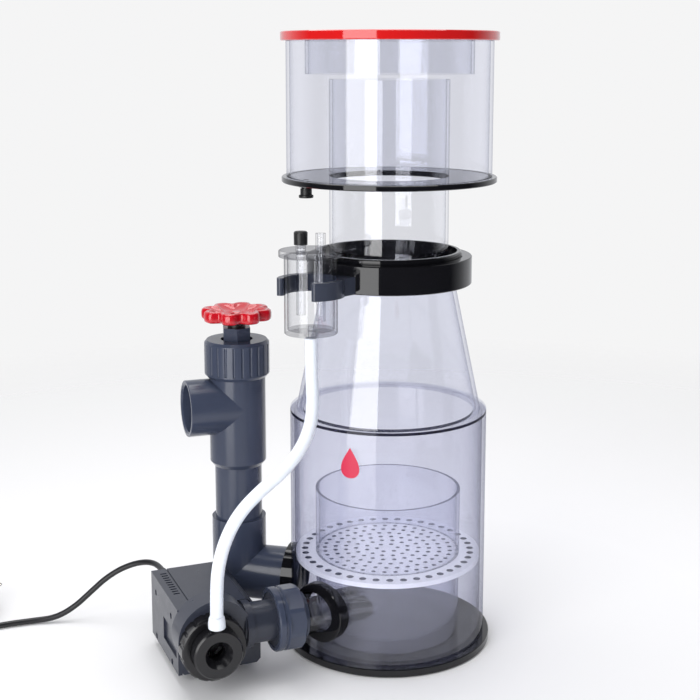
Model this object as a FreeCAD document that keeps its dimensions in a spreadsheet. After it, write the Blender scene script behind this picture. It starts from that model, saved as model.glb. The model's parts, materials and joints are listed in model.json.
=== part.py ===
import FreeCAD, Part
import math
import os

import Sketcher
from FreeCAD import Placement, Rotation, Vector

# Protein skimmer with an external needle-wheel pump, a riser with a wheel valve and an air silencer.
# Frame: millimetres, +Z up, origin on the underside of the base plate, on the axis of the reaction
# tube.  -Y is the front.  The pump and the riser stand on the -X side.

doc = FreeCAD.newDocument("ProteinSkimmer")

# ---------------------------------------------------------------------------------- driving sizes

DRIVING_SIZES = {
    # base and reaction tube
    "base_radius": 107.5, "base_height": 8.0, "edge_break": 0.8,
    "tube_radius": 101.5, "tube_wall": 4.0, "tube_top": 245.0,
    "top_ring_height": 3.0, "top_ring_bore": 88.0,
    # cone and collar
    "cone_foot_radius": 95.0, "cone_head_radius": 67.6, "cone_wall": 4.0, "cone_top": 383.0,
    "collar_radius": 84.6, "collar_bottom": 379.0, "collar_top": 407.0, "collar_bore": 74.0,
    "collar_ledge": 386.0,
    # bubble plate and inner tubes
    "plate_radius": 96.5, "plate_bottom": 88.0, "plate_height": 5.0,
    "outer_hole_radius": 3.6, "outer_hole_ring": 87.0,
    "inner_hole_radius": 2.4, "inner_ring_step": 11.0,
    "chamber_radius": 75.0, "diffuser_radius": 75.6, "inner_wall": 3.0, "diffuser_top": 160.7,
    # neck and collection cup
    "neck_radius": 60.5, "neck_wall": 3.0, "neck_bottom": 388.0, "neck_top": 583.5,
    "neck_ring_radius": 73.6, "neck_ring_top": 412.0, "neck_ring_lip": 69.5,
    "seal_groove_radius": 75.6, "seal_groove_low": 393.0, "seal_groove_high": 395.4,
    "seal_wire": 0.9,
    "cup_floor_radius": 108.5, "cup_floor_bottom": 481.9, "cup_floor_height": 5.5,
    "cup_radius": 103.5, "cup_wall": 3.5, "cup_top": 621.6,
    "lid_radius": 109.0, "lid_height": 8.9,
    "deflector_radius": 84.5, "deflector_bottom": 589.0,
    "drain_x": -82.5, "drain_y": -42.0, "drain_bore": 3.0,
    # outlet elbow, riser and valve
    "riser_x": -160.0, "riser_y": 42.0, "pipe_radius": 25.0, "pipe_bore": 22.0,
    "outlet_height": 52.0, "elbow_radius": 29.0, "elbow_top": 115.0, "socket_depth": 30.0,
    "outlet_flange_radius": 35.0, "outlet_flange_out": 108.5,
    "tee_radius": 30.0, "tee_bottom": 173.0, "tee_top": 293.0, "tee_chamber": 27.0,
    "branch_height": 238.0, "branch_reach": 56.0, "branch_turn": 199.0, "branch_depth": 24.0,
    "nut_radius": 34.5, "nut_bottom": 270.0, "nut_top": 310.0,
    "boss_flats": 28.0, "boss_top": 323.0,
    "wheel_radius": 37.6, "wheel_bottom": 330.5, "wheel_top": 343.0,
    "stem_radius": 5.0, "stem_bottom": 203.0, "plug_radius": 26.6, "plug_length": 23.0,
    # air silencer
    "silencer_x": -77.0, "silencer_y": -84.0, "silencer_radius": 25.7, "silencer_bottom": 343.0,
    "silencer_top": 418.0, "silencer_lid_radius": 30.8, "clip_wall": 7.0,
    "clip_bottom": 379.5, "clip_top": 396.5, "clip_half_opening": 52.0,
    "nipple_offset": 9.5, "nipple_radius": 4.9, "nipple_top": 440.0,
    # pump, in its own frame: z runs back from the intake face
    "pump_x": -162.0, "pump_y": -164.5, "pump_z": 50.6, "pump_turn": 22.1,
    "intake_radius": 24.0, "intake_bore": 8.5, "air_boss_top": 24.8,
    "lock_ring_radius": 32.0, "lock_ring_front": 14.0,
    "volute_radius": 37.0, "volute_offset": 5.0, "volute_front": 28.0, "volute_back": 54.0,
    "motor_left": 22.0, "motor_right": -58.0, "motor_low": -40.3, "motor_high": 27.3,
    "motor_front": 54.0, "motor_back": 160.0, "side_plate": 4.0, "motor_wall": 3.0,
    "well_radius": 18.0, "well_bore": 15.0, "well_back": 132.0,
    "shaft_radius": 2.5, "magnet_radius": 14.0, "impeller_radius": 25.5,
    # union between pump and body
    "outlet_set_back": 45.0, "outlet_rise": 6.4, "union_gap": 120.0,
    "tail_radius": 20.0, "tail_bore": 15.5, "union_nut_radius": 31.5,
    "union_nut_near": 26.0, "union_nut_far": 54.0, "inlet_flange_radius": 30.0,
    "inlet_flange_out": 110.0,
    # cords
    "hose_radius": 6.25, "mains_radius": 3.1,
    "coil_mean_radius": 33.0, "coil_width": 19.0, "coil_height": 18.6,
}

sheet = doc.addObject("Spreadsheet::Sheet", "Sizes")
for row, (alias, value) in enumerate(DRIVING_SIZES.items(), 1):
    sheet.set(f"A{row}", alias)
    sheet.set(f"B{row}", str(value))
    sheet.setAlias(f"B{row}", alias)
doc.recompute()


class Size:
    """A length that knows both its value and the spreadsheet expression that gives it."""

    def __init__(self, value, text):
        self.value = float(value)
        self.text = text

    def __add__(self, other):
        other = as_size(other)
        return Size(self.value + other.value, f"({self.text} + {other.text})")

    def __sub__(self, other):
        other = as_size(other)
        return Size(self.value - other.value, f"({self.text} - {other.text})")

    def __mul__(self, other):
        other = as_size(other)
        return Size(self.value * other.value, f"({self.text} * {other.text})")

    def __truediv__(self, other):
        other = as_size(other)
        return Size(self.value / other.value, f"({self.text} / {other.text})")

    def __neg__(self):
        return Size(-self.value, f"(0 - {self.text})")

    def __radd__(self, other):
        return as_size(other) + self

    def __rsub__(self, other):
        return as_size(other) - self

    def __rmul__(self, other):
        return as_size(other) * self


def as_size(number):
    if isinstance(number, Size):
        return number
    return Size(number, repr(float(number)))


class SheetReader:
    """S.name is the cell of that name."""

    def __getattr__(self, name):
        return Size(sheet.get(name), f"Sizes.{name}")


S = SheetReader()


def bind(obj, prop, number):
    number = as_size(number)
    if "Sizes." in number.text:
        obj.setExpression(prop, number.text)
    else:
        setattr(obj, prop, number.value)


# -------------------------------------------------------------------------------- places and axes

UP = Vector(0, 0, 1)
HERE = Placement()


def frame(origin, x_axis, z_axis):
    """A placement whose local X and Z point along the two given directions."""
    y_axis = z_axis.cross(x_axis)
    return Placement(origin, Rotation(x_axis, y_axis, z_axis, "ZXY"))


def flat_direction(degrees):
    return Vector(math.cos(math.radians(degrees)), math.sin(math.radians(degrees)), 0)


TO_BODY = flat_direction(S.pump_turn.value)
TO_FRONT = flat_direction(S.pump_turn.value - 90)
INTAKE = Vector(S.pump_x.value, S.pump_y.value, S.pump_z.value)
# pump frame: x to the left, y up, z back from the intake face
PUMP = frame(INTAKE, -TO_BODY, -TO_FRONT)
# union frame: z runs from the body wall out to the pump
UNION_ORIGIN = PUMP.multVec(Vector(-S.union_gap.value, S.outlet_rise.value, S.outlet_set_back.value))
UNION = frame(UNION_ORIGIN, TO_FRONT, -TO_BODY)
RISER_FOOT = Vector(S.riser_x.value, S.riser_y.value, 0)
RISER = Placement(RISER_FOOT, Rotation())
SILENCER = Placement(Vector(S.silencer_x.value, S.silencer_y.value, 0), Rotation())
# elbow frame: z runs level from the riser to the axis of the body
ELBOW_ORIGIN = RISER_FOOT + UP * S.outlet_height.value
RISER_TO_AXIS = Vector(-S.riser_x.value, -S.riser_y.value, 0)
ELBOW = frame(ELBOW_ORIGIN, UP, RISER_TO_AXIS / RISER_TO_AXIS.Length)
# branch frame: z runs level from the riser out of the valve's branch
BRANCH = frame(RISER_FOOT + UP * S.branch_height.value, UP, flat_direction(S.branch_turn.value))


# ------------------------------------------------------------------------------- modelling helpers

subparts = []


def keep(obj, label):
    """Give a finished object its node name and put it on the list of sub-parts."""
    obj.Label = label
    subparts.append(obj)
    return obj


def origin_plane(body, role):
    return next(item for item in body.Origin.OriginFeatures if item.Role == role)


def closed_outline(sketch, corners):
    """Draw a closed run of lines whose corners are bound to the sheet."""
    corners = [(as_size(a), as_size(b)) for a, b in corners]
    count = len(corners)
    for index, (a, b) in enumerate(corners):
        c, d = corners[(index + 1) % count]
        start = Vector(a.value, b.value, 0)
        end = Vector(c.value, d.value, 0)
        sketch.addGeometry(Part.LineSegment(start, end), False)
    for index in range(count):
        sketch.addConstraint(Sketcher.Constraint("Coincident", index, 2, (index + 1) % count, 1))
    for index, (a, b) in enumerate(corners):
        for kind, number in (("DistanceX", a), ("DistanceY", b)):
            if number.value == 0:
                axis = -2 if kind == "DistanceX" else -1
                sketch.addConstraint(Sketcher.Constraint("PointOnObject", index, 1, axis))
                continue
            place = sketch.addConstraint(Sketcher.Constraint(kind, -1, 1, index, 1, number.value))
            if "Sizes." in number.text:
                sketch.setExpression(f"Constraints[{place}]", number.text)


def new_sketch(body, role, name, lift=0):
    sketch = body.newObject("Sketcher::SketchObject", name)
    sketch.AttachmentSupport = (origin_plane(body, role), [""])
    sketch.MapMode = "FlatFace"
    if as_size(lift).text != "0.0":
        bind_lift(sketch, lift)
    return sketch


def bind_lift(sketch, lift):
    lift = as_size(lift)
    sketch.AttachmentOffset = Placement(Vector(0, 0, lift.value), Rotation())
    if "Sizes." in lift.text:
        sketch.setExpression("AttachmentOffset.Base.z", lift.text)


def turned(name, corners, place=HERE):
    """A body turned about its own Z axis from (radius, height) corners."""
    body = doc.addObject("PartDesign::Body", name)
    sketch = new_sketch(body, "XZ_Plane", name + "_outline")
    closed_outline(sketch, corners)
    turn = body.newObject("PartDesign::Revolution", name + "_turn")
    turn.Profile = sketch
    turn.ReferenceAxis = (sketch, ["V_Axis"])
    turn.Angle = 360
    sketch.Visibility = False
    body.Placement = place
    return body


def raised(name, corners, low, high, place=HERE):
    """A body padded along its own Z axis from (x, y) corners."""
    body = doc.addObject("PartDesign::Body", name)
    sketch = new_sketch(body, "XY_Plane", name + "_outline", low)
    closed_outline(sketch, corners)
    pad = body.newObject("PartDesign::Pad", name + "_pad")
    pad.Profile = sketch
    bind(pad, "Length", as_size(high) - low)
    body.Placement = place
    return body


def pocket_ring(body, name, radius, ring, count, low, depth, start_angle=0.0):
    """Round holes on a ring, drilled up from the height low and repeated about the Z axis."""
    sketch = new_sketch(body, "XY_Plane", name + "_hole", low)
    radius, ring = as_size(radius), as_size(ring)
    spot = flat_direction(start_angle) * ring.value
    sketch.addGeometry(Part.Circle(spot, UP, radius.value), False)
    for constraint in (Sketcher.Constraint("Radius", 0, radius.value),
                       Sketcher.Constraint("DistanceX", -1, 1, 0, 3, spot.x),
                       Sketcher.Constraint("DistanceY", -1, 1, 0, 3, spot.y)):
        sketch.addConstraint(constraint)
    turn = f"{start_angle} deg"
    for place, text in ((0, radius.text), (1, f"({ring.text}) * cos({turn})"),
                        (2, f"({ring.text}) * sin({turn})")):
        if "Sizes." in text:
            sketch.setExpression(f"Constraints[{place}]", text)
    before = body.Tip
    hole = body.newObject("PartDesign::Pocket", name)
    hole.Profile = sketch
    hole.Reversed = True
    bind(hole, "Length", depth)
    doc.recompute()
    if not hole.Shape.Volume < before.Shape.Volume - 1:
        raise RuntimeError(f"{name} cuts nothing")
    pattern = body.newObject("PartDesign::PolarPattern", name + "_ring")
    pattern.Originals = [hole]
    pattern.Axis = (sketch_axis(body), [""])
    pattern.Angle = 360
    pattern.Occurrences = count
    body.Tip = pattern
    doc.recompute()
    return pattern


def sketch_axis(body):
    return next(item for item in body.Origin.OriginFeatures if item.Role == "Z_Axis")


def rod(name, radius, low, high, place=HERE):
    """A plain cylinder from low to high on the local Z axis of a place."""
    item = doc.addObject("Part::Cylinder", name)
    low, high = as_size(low), as_size(high)
    bind(item, "Radius", radius)
    bind(item, "Height", high - low)
    item.Placement = place.multiply(Placement(Vector(0, 0, low.value), Rotation()))
    return item


def brick(name, corner, far_corner, place=HERE):
    """A plain box between two opposite local corners."""
    item = doc.addObject("Part::Box", name)
    corner = [as_size(number) for number in corner]
    far_corner = [as_size(number) for number in far_corner]
    for prop, near, far in zip(("Length", "Width", "Height"), corner, far_corner):
        bind(item, prop, far - near)
    item.Placement = place.multiply(Placement(Vector(*[number.value for number in corner]), Rotation()))
    return item


def torus(name, ring, wire, height, place=HERE):
    item = doc.addObject("Part::Torus", name)
    bind(item, "Radius1", ring)
    bind(item, "Radius2", wire)
    item.Placement = place.multiply(Placement(UP * as_size(height).value, Rotation()))
    return item


def ball(name, radius, centre):
    item = doc.addObject("Part::Sphere", name)
    bind(item, "Radius", radius)
    item.Placement = Placement(centre, Rotation())
    return item


def fused(name, items):
    item = doc.addObject("Part::MultiFuse", name)
    item.Shapes = items
    item.Refine = True
    return item


def without(name, base, tools):
    """The base with every tool cut away."""
    tool = tools[0] if len(tools) == 1 else fused(name + "_tools", tools)
    item = doc.addObject("Part::Cut", name)
    item.Base = base
    item.Tool = tool
    item.Refine = True
    return item


def ring_of(name, outer, inner, low, high, place=HERE):
    return turned(name, [(inner, low), (outer, low), (outer, high), (inner, high)], place)


def chamfered_disc(name, outer, inner, low, high, edge, place=HERE):
    """A disc or ring with both outer corners broken."""
    return turned(name, [(inner, low), (outer - edge, low), (outer, low + edge), (outer, high - edge),
                         (outer - edge, high), (inner, high)], place)


def grouped(name, solids):
    """Identical fasteners share one node as separate solids."""
    item = doc.addObject("Part::Compound", name)
    item.Links = solids
    return item


# ------------------------------------------------------------------------- base and reaction body

keep(chamfered_disc("base_plate", S.base_radius, 0, 0, S.base_height, S.edge_break), "base_plate")

tube_blank = ring_of("tube_blank", S.tube_radius, S.tube_radius - S.tube_wall, S.base_height, S.tube_top)
keep(without("body_tube", tube_blank, [
    rod("tube_inlet_hole", S.tail_radius, -40, 40, UNION),
    rod("tube_outlet_hole", S.pipe_radius, 30, 90, ELBOW),
]), "body_tube")

ring_top = S.tube_top + S.top_ring_height
keep(ring_of("body_top_ring", S.tube_radius, S.top_ring_bore, S.tube_top, ring_top), "body_top_ring")

keep(turned("cone", [
    (S.cone_foot_radius - S.cone_wall, ring_top), (S.cone_foot_radius, ring_top),
    (S.cone_head_radius, S.collar_bottom), (S.cone_head_radius, S.cone_top),
    (S.cone_head_radius - S.cone_wall, S.cone_top), (S.cone_head_radius - S.cone_wall, S.collar_bottom),
]), "cone")

# Female collar: the cone is glued in from below, the neck ring drops in from above, and a groove
# in the bore holds the seal.
keep(turned("body_collar", [
    (S.cone_head_radius, S.collar_bottom), (S.collar_radius - S.edge_break, S.collar_bottom),
    (S.collar_radius, S.collar_bottom + S.edge_break), (S.collar_radius, S.collar_top - S.edge_break),
    (S.collar_radius - S.edge_break, S.collar_top), (S.collar_bore + 1.5, S.collar_top),
    (S.collar_bore, S.collar_top - 1.5), (S.collar_bore, S.seal_groove_high),
    (S.seal_groove_radius, S.seal_groove_high), (S.seal_groove_radius, S.seal_groove_low),
    (S.collar_bore, S.seal_groove_low), (S.collar_bore, S.collar_ledge),
    (S.cone_head_radius - S.cone_wall, S.collar_ledge), (S.cone_head_radius - S.cone_wall, S.cone_top),
    (S.cone_head_radius, S.cone_top),
]), "body_collar")

# --------------------------------------------------------------------- bubble plate and diffuser

plate = turned("bubble_plate", [
    (0, S.plate_bottom), (S.plate_radius, S.plate_bottom),
    (S.plate_radius, S.plate_bottom + S.plate_height), (0, S.plate_bottom + S.plate_height)])
pocket_ring(plate, "outer_holes", S.outer_hole_radius, S.outer_hole_ring, 40,
            S.plate_bottom - 1, S.plate_height + 2)
INNER_HOLE_COUNTS = (6, 12, 18, 25, 31, 37)
for ring_number, hole_count in enumerate(INNER_HOLE_COUNTS, 1):
    pocket_ring(plate, f"inner_holes_{ring_number}", S.inner_hole_radius, S.inner_ring_step * ring_number,
                hole_count, S.plate_bottom - 1, S.plate_height + 2, start_angle=7.0 * ring_number)
keep(plate, "bubble_plate")

chamber_blank = ring_of("chamber_blank", S.chamber_radius, S.chamber_radius - S.inner_wall,
                        S.base_height, S.plate_bottom)
keep(without("chamber_tube", chamber_blank,
             [rod("chamber_inlet_hole", S.tail_bore, -75, 10, UNION)]), "chamber_tube")

keep(ring_of("diffuser_tube", S.diffuser_radius, S.diffuser_radius - S.inner_wall,
             S.plate_bottom + S.plate_height, S.diffuser_top), "diffuser_tube")

nozzle_blank = ring_of("nozzle_blank", S.tail_bore, S.tail_bore - 2, -75, -6, UNION)
keep(without("inlet_nozzle", nozzle_blank,
             [rod("nozzle_end_cut", S.chamber_radius - S.inner_wall, 0, S.plate_bottom)]), "inlet_nozzle")

# ----------------------------------------------------------------------- neck and collection cup

# The neck ring is a shallow well: its floor grips the neck tube, its wall sits in the collar.
keep(turned("neck_ring", [
    (S.neck_radius, S.neck_bottom - 1.5), (S.neck_ring_radius - 1.0, S.neck_bottom - 1.5),
    (S.neck_ring_radius, S.neck_bottom - 0.5), (S.neck_ring_radius, S.neck_ring_top - 1.0),
    (S.neck_ring_radius - 1.0, S.neck_ring_top), (S.neck_ring_lip, S.neck_ring_top),
    (S.neck_ring_lip - 2.5, S.neck_bottom + 6), (S.neck_radius, S.neck_bottom + 6),
]), "neck_ring")

seal_height = (S.seal_groove_high + S.seal_groove_low) / 2
keep(torus("neck_seal", S.seal_groove_radius - S.seal_wire - 0.05, S.seal_wire, seal_height), "neck_seal")

keep(ring_of("neck_tube", S.neck_radius, S.neck_radius - S.neck_wall, S.neck_bottom, S.neck_top),
     "neck_tube")

cup_floor_top = S.cup_floor_bottom + S.cup_floor_height
DRAIN = Placement(Vector(S.drain_x.value, S.drain_y.value, S.cup_floor_bottom.value), Rotation())
floor_blank = chamfered_disc("cup_floor_blank", S.cup_floor_radius, S.neck_radius,
                             S.cup_floor_bottom, cup_floor_top, S.edge_break)
keep(without("cup_floor", floor_blank, [rod("drain_hole", S.drain_bore, -2, 9, DRAIN)]), "cup_floor")

keep(ring_of("cup_wall", S.cup_radius, S.cup_radius - S.cup_wall, cup_floor_top, S.cup_top), "cup_wall")

keep(turned("drain_nipple", [
    (S.drain_bore, -9.5), (S.drain_bore + 1.6, -9.5), (S.drain_bore + 1.6, -2), (S.drain_bore + 4, -2),
    (S.drain_bore + 4, 0), (S.drain_bore, 0)], DRAIN), "drain_nipple")

keep(turned("drain_cap", [
    (0, -12.5), (6.8, -12.5), (7.2, -12.1), (7.2, -10.2), (6.8, -9.8), (5.7, -9.8), (5.7, -3.5),
    (4.9, -3.5), (4.9, -9.8), (0, -9.8)], DRAIN), "drain_cap")

lid_top = S.cup_top + S.lid_height
keep(chamfered_disc("lid_disc", S.lid_radius, 0, S.cup_top, lid_top, S.edge_break), "lid_disc")
keep(ring_of("lid_deflector", S.deflector_radius, S.deflector_radius - S.inner_wall,
             S.deflector_bottom, S.cup_top), "lid_deflector")

# -------------------------------------------------------------------- outlet, riser and valve tee

axis_distance = RISER_TO_AXIS.Length
flange_face = axis_distance - S.outlet_flange_out.value
body_cutter = rod("outlet_flange_saddle", S.tube_radius, 0, 150)
keep(without("outlet_flange", rod("outlet_flange_blank", S.outlet_flange_radius, flange_face,
                                  axis_distance - 92, ELBOW),
             [body_cutter, rod("outlet_flange_bore", S.pipe_radius, 30, 90, ELBOW)]), "outlet_flange")

# The fitting is an equal elbow whose level arm ends in a spigot through the body wall.
elbow_blank = fused("elbow_blank", [
    rod("elbow_arm", S.elbow_radius, 0, flange_face, ELBOW),
    rod("elbow_spigot", S.pipe_radius, 10, axis_distance - 93, ELBOW),
    rod("elbow_socket", S.elbow_radius, S.outlet_height, S.elbow_top, RISER),
    ball("elbow_corner", S.elbow_radius, ELBOW_ORIGIN),
])
keep(without("outlet_elbow", elbow_blank, [
    rod("elbow_arm_bore", S.pipe_bore, 0, 90, ELBOW),
    rod("elbow_way_bore", S.pipe_bore, S.outlet_height, S.elbow_top, RISER),
    rod("elbow_socket_bore", S.pipe_radius, S.elbow_top - S.socket_depth, S.elbow_top + 1, RISER),
    ball("elbow_corner_bore", S.pipe_bore, ELBOW_ORIGIN),
]), "outlet_elbow")

pipe_top = S.tee_bottom + 17
keep(ring_of("riser_pipe", S.pipe_radius, S.pipe_bore, S.elbow_top - S.socket_depth, pipe_top, RISER),
     "riser_pipe")

tee_run = turned("tee_run", [
    (0, S.tee_bottom), (S.tee_radius - 4, S.tee_bottom), (S.tee_radius, S.tee_bottom + 5),
    (S.tee_radius, S.nut_bottom + 4), (S.tee_radius - 0.6, S.nut_bottom + 5),
    (S.tee_radius - 0.6, S.tee_top), (0, S.tee_top)], RISER)
tee_branch = turned("tee_branch", [
    (0, 0), (S.tee_radius, 0), (S.tee_radius, S.branch_reach - 0.6), (S.tee_radius - 0.6, S.branch_reach),
    (0, S.branch_reach)], BRANCH)
branch_hole = turned("branch_hole", [
    (0, 0), (S.pipe_bore, 0), (S.pipe_bore, S.branch_reach - S.branch_depth),
    (S.pipe_radius, S.branch_reach - S.branch_depth), (S.pipe_radius, S.branch_reach - 1.8),
    (S.pipe_radius + 1.8, S.branch_reach), (S.pipe_radius + 1.8, S.branch_reach + 2),
    (0, S.branch_reach + 2)], BRANCH)
run_hole = turned("run_hole", [
    (0, S.tee_bottom - 1), (S.pipe_radius, S.tee_bottom - 1), (S.pipe_radius, pipe_top),
    (S.pipe_bore, pipe_top), (S.pipe_bore, pipe_top + 6), (S.tee_chamber, pipe_top + 10),
    (S.tee_chamber, S.tee_top + 1), (0, S.tee_top + 1)], RISER)
keep(without("valve_tee", fused("tee_blank", [tee_run, tee_branch]), [branch_hole, run_hole]), "valve_tee")

# Cap nut: a flanged ring that screws over the tee and clamps the bonnet.
bonnet_top = S.tee_top + 7
cap_nut = turned("valve_cap_nut", [
    (S.tee_radius + 0.3, S.nut_bottom), (S.nut_radius - 3, S.nut_bottom),
    (S.nut_radius, S.nut_bottom + 3.5), (S.nut_radius, S.nut_top - 3), (S.nut_radius - 2.5, S.nut_top),
    (17.0, S.nut_top), (17.0, bonnet_top + 0.3), (S.tee_radius + 0.3, bonnet_top + 0.3)], RISER)
pocket_ring(cap_nut, "nut_flutes", 1.6, S.nut_radius + 0.5, 24, S.nut_bottom + 5,
            S.nut_top - S.nut_bottom - 9)
keep(cap_nut, "valve_cap_nut")

bonnet_disc = ring_of("bonnet_disc", S.tee_radius - 0.4, S.stem_radius + 0.06, S.tee_top, bonnet_top, RISER)
boss = doc.addObject("Part::Prism", "bonnet_boss")
boss.Polygon = 6
bind(boss, "Circumradius", S.boss_flats / 1.7321)
bind(boss, "Height", S.boss_top - bonnet_top)
boss.Placement = Placement(RISER_FOOT + UP * bonnet_top.value, Rotation(UP, 30 + 8))
keep(without("valve_bonnet", fused("bonnet_blank", [bonnet_disc, boss]), [
    rod("bonnet_bore", S.stem_radius + 0.06, S.tee_top - 1, S.boss_top + 1, RISER)]), "valve_bonnet")

keep(turned("valve_stem", [
    (0, S.stem_bottom), (S.stem_radius, S.stem_bottom), (S.stem_radius, S.wheel_bottom - 4),
    (3.2, S.wheel_bottom - 4), (3.2, S.wheel_bottom + 4.5), (0, S.wheel_bottom + 4.5)], RISER), "valve_stem")

keep(ring_of("stem_seal", 9.5, S.stem_radius + 0.06, S.boss_top, S.boss_top + 3.2, RISER), "stem_seal")

# Handwheel: a dished disc with eight finger lobes.
wheel = turned("valve_handwheel", [
    (3.25, S.wheel_bottom - 3.5), (8.5, S.wheel_bottom - 3.5), (11, S.wheel_bottom),
    (24, S.wheel_bottom + 1.5), (S.wheel_radius - 5, S.wheel_bottom), (S.wheel_radius - 1.2, S.wheel_bottom),
    (S.wheel_radius, S.wheel_bottom + 1.5), (S.wheel_radius, S.wheel_top - 2),
    (S.wheel_radius - 2, S.wheel_top), (S.wheel_radius - 7, S.wheel_top - 0.6), (22, S.wheel_top - 4.5),
    (9, S.wheel_top - 6.5), (3.25, S.wheel_top - 6.5)], RISER)
pocket_ring(wheel, "wheel_valleys", 7.4, S.wheel_radius + 2.6, 8, S.wheel_bottom - 5,
            S.wheel_top - S.wheel_bottom + 10, start_angle=14.0)
keep(wheel, "valve_handwheel")

keep(turned("wheel_screw", [
    (0, S.wheel_bottom + 4.5), (3.0, S.wheel_bottom + 4.5), (3.0, S.wheel_top - 6.5),
    (6.0, S.wheel_top - 6.5), (6.0, S.wheel_top - 4.6), (4.0, S.wheel_top - 3.6), (0, S.wheel_top - 3.6)],
    RISER), "wheel_screw")

plug_top = S.tee_top - 2
keep(turned("valve_plug", [
    (S.stem_radius + 0.3, plug_top - S.plug_length), (S.plug_radius - 1, plug_top - S.plug_length),
    (S.plug_radius, plug_top - S.plug_length + 1), (S.plug_radius, plug_top - 14.5),
    (S.plug_radius - 2, plug_top - 14.5), (S.plug_radius - 2, plug_top - 11.5),
    (S.plug_radius, plug_top - 11.5), (S.plug_radius, plug_top), (S.stem_radius + 0.3, plug_top),
], RISER), "valve_plug")
keep(ring_of("plug_seal", S.plug_radius + 0.1, S.plug_radius - 2, plug_top - 14.5, plug_top - 11.5, RISER),
     "plug_seal")

# -------------------------------------------------------------------------- silencer and its clip

CLIP_FACING = math.degrees(math.atan2(S.silencer_y.value, S.silencer_x.value))
clip_outer = S.silencer_radius + 0.2 + S.clip_wall
clip_place = Placement(SILENCER.Base, Rotation(UP, CLIP_FACING))
clip_ring = rod("clip_ring", clip_outer, S.clip_bottom, S.clip_top, clip_place)
clip_web = brick("clip_web", (-75, -clip_outer + 6, S.clip_bottom), (0, clip_outer - 6, S.clip_top), clip_place)
opening_reach = 60.0
opening_half = opening_reach * math.tan(math.radians(S.clip_half_opening.value))
clip_opening = raised("clip_opening", [(0, 0), (opening_reach, -opening_half), (opening_reach, opening_half)],
                      S.clip_bottom - 1, S.clip_top + 1, clip_place)
tip_radius = S.clip_wall / 2
tips = []
for side in (-1, 1):
    tip_angle = CLIP_FACING + side * S.clip_half_opening.value
    tip_spot = SILENCER.Base + flat_direction(tip_angle) * (clip_outer.value - tip_radius.value)
    tips.append(rod(f"clip_tip_{side + 2}", tip_radius, S.clip_bottom, S.clip_top, Placement(tip_spot, Rotation())))
clip_body = without("clip_body", fused("clip_blank", [clip_ring, clip_web]), [
    rod("clip_bore", S.silencer_radius + 0.2, S.clip_bottom - 1, S.clip_top + 1, clip_place),
    rod("clip_collar_cut", S.collar_radius, S.clip_bottom - 1, S.clip_top + 1),
    clip_opening,
])
keep(fused("silencer_clip", [clip_body] + tips), "silencer_clip")

keep(turned("silencer_jar", [
    (4.6, S.silencer_bottom), (S.silencer_radius - 0.6, S.silencer_bottom),
    (S.silencer_radius, S.silencer_bottom + 0.6), (S.silencer_radius, S.silencer_top),
    (S.silencer_radius - 3, S.silencer_top), (S.silencer_radius - 3, S.silencer_bottom + 4),
    (4.6, S.silencer_bottom + 4)], SILENCER), "silencer_jar")

silencer_lid_top = S.silencer_top + 6
lid_blank = turned("silencer_lid_blank", [
    (0, S.silencer_top), (S.silencer_lid_radius, S.silencer_top),
    (S.silencer_lid_radius, silencer_lid_top - 0.6), (S.silencer_lid_radius - 0.6, silencer_lid_top),
    (0, silencer_lid_top)], SILENCER)
# Each tube is a little slimmer below the lid, so its nipple stands on a shoulder.
nipple_stem = S.nipple_radius - 0.4
nipple_bore = S.nipple_radius - 1.5
lid_holes = []
nipple_places = []
for side in (-1, 1):
    spot = SILENCER.Base + Vector(side * S.nipple_offset.value, 0, 0)
    nipple_places.append(Placement(spot, Rotation()))
    lid_holes.append(rod(f"lid_hole_{side + 2}", nipple_stem, S.silencer_top - 1,
                         silencer_lid_top + 1, nipple_places[-1]))
keep(without("silencer_lid", lid_blank, lid_holes), "silencer_lid")

for number, (tube, tube_bottom) in enumerate([("bleed_tube", S.silencer_bottom + 18),
                                              ("air_inlet_tube", S.silencer_bottom + 12)]):
    keep(turned(tube, [
        (nipple_bore, tube_bottom), (nipple_stem, tube_bottom), (nipple_stem, silencer_lid_top),
        (S.nipple_radius, silencer_lid_top), (S.nipple_radius, S.nipple_top),
        (nipple_bore, S.nipple_top)], nipple_places[number]), tube)

keep(turned("bleed_cap", [
    (S.nipple_radius + 0.3, S.nipple_top - 11), (S.nipple_radius + 1.6, S.nipple_top - 11),
    (S.nipple_radius + 1.8, S.nipple_top + 0.6), (S.nipple_radius + 0.8, S.nipple_top + 1.8),
    (0, S.nipple_top + 1.8), (0, S.nipple_top + 0.1), (S.nipple_radius + 0.3, S.nipple_top + 0.1)],
    nipple_places[0]), "bleed_cap")

hose_top = S.silencer_bottom - 5
keep(turned("silencer_barb", [
    (2.8, hose_top), (5.0, hose_top), (5.0, S.silencer_bottom - 2.5), (7.0, S.silencer_bottom - 2.5),
    (7.0, S.silencer_bottom), (4.6, S.silencer_bottom), (4.6, S.silencer_bottom + 7),
    (2.8, S.silencer_bottom + 7)], SILENCER), "silencer_barb")

# ------------------------------------------------------------------------------- pump and its wet end

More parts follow.
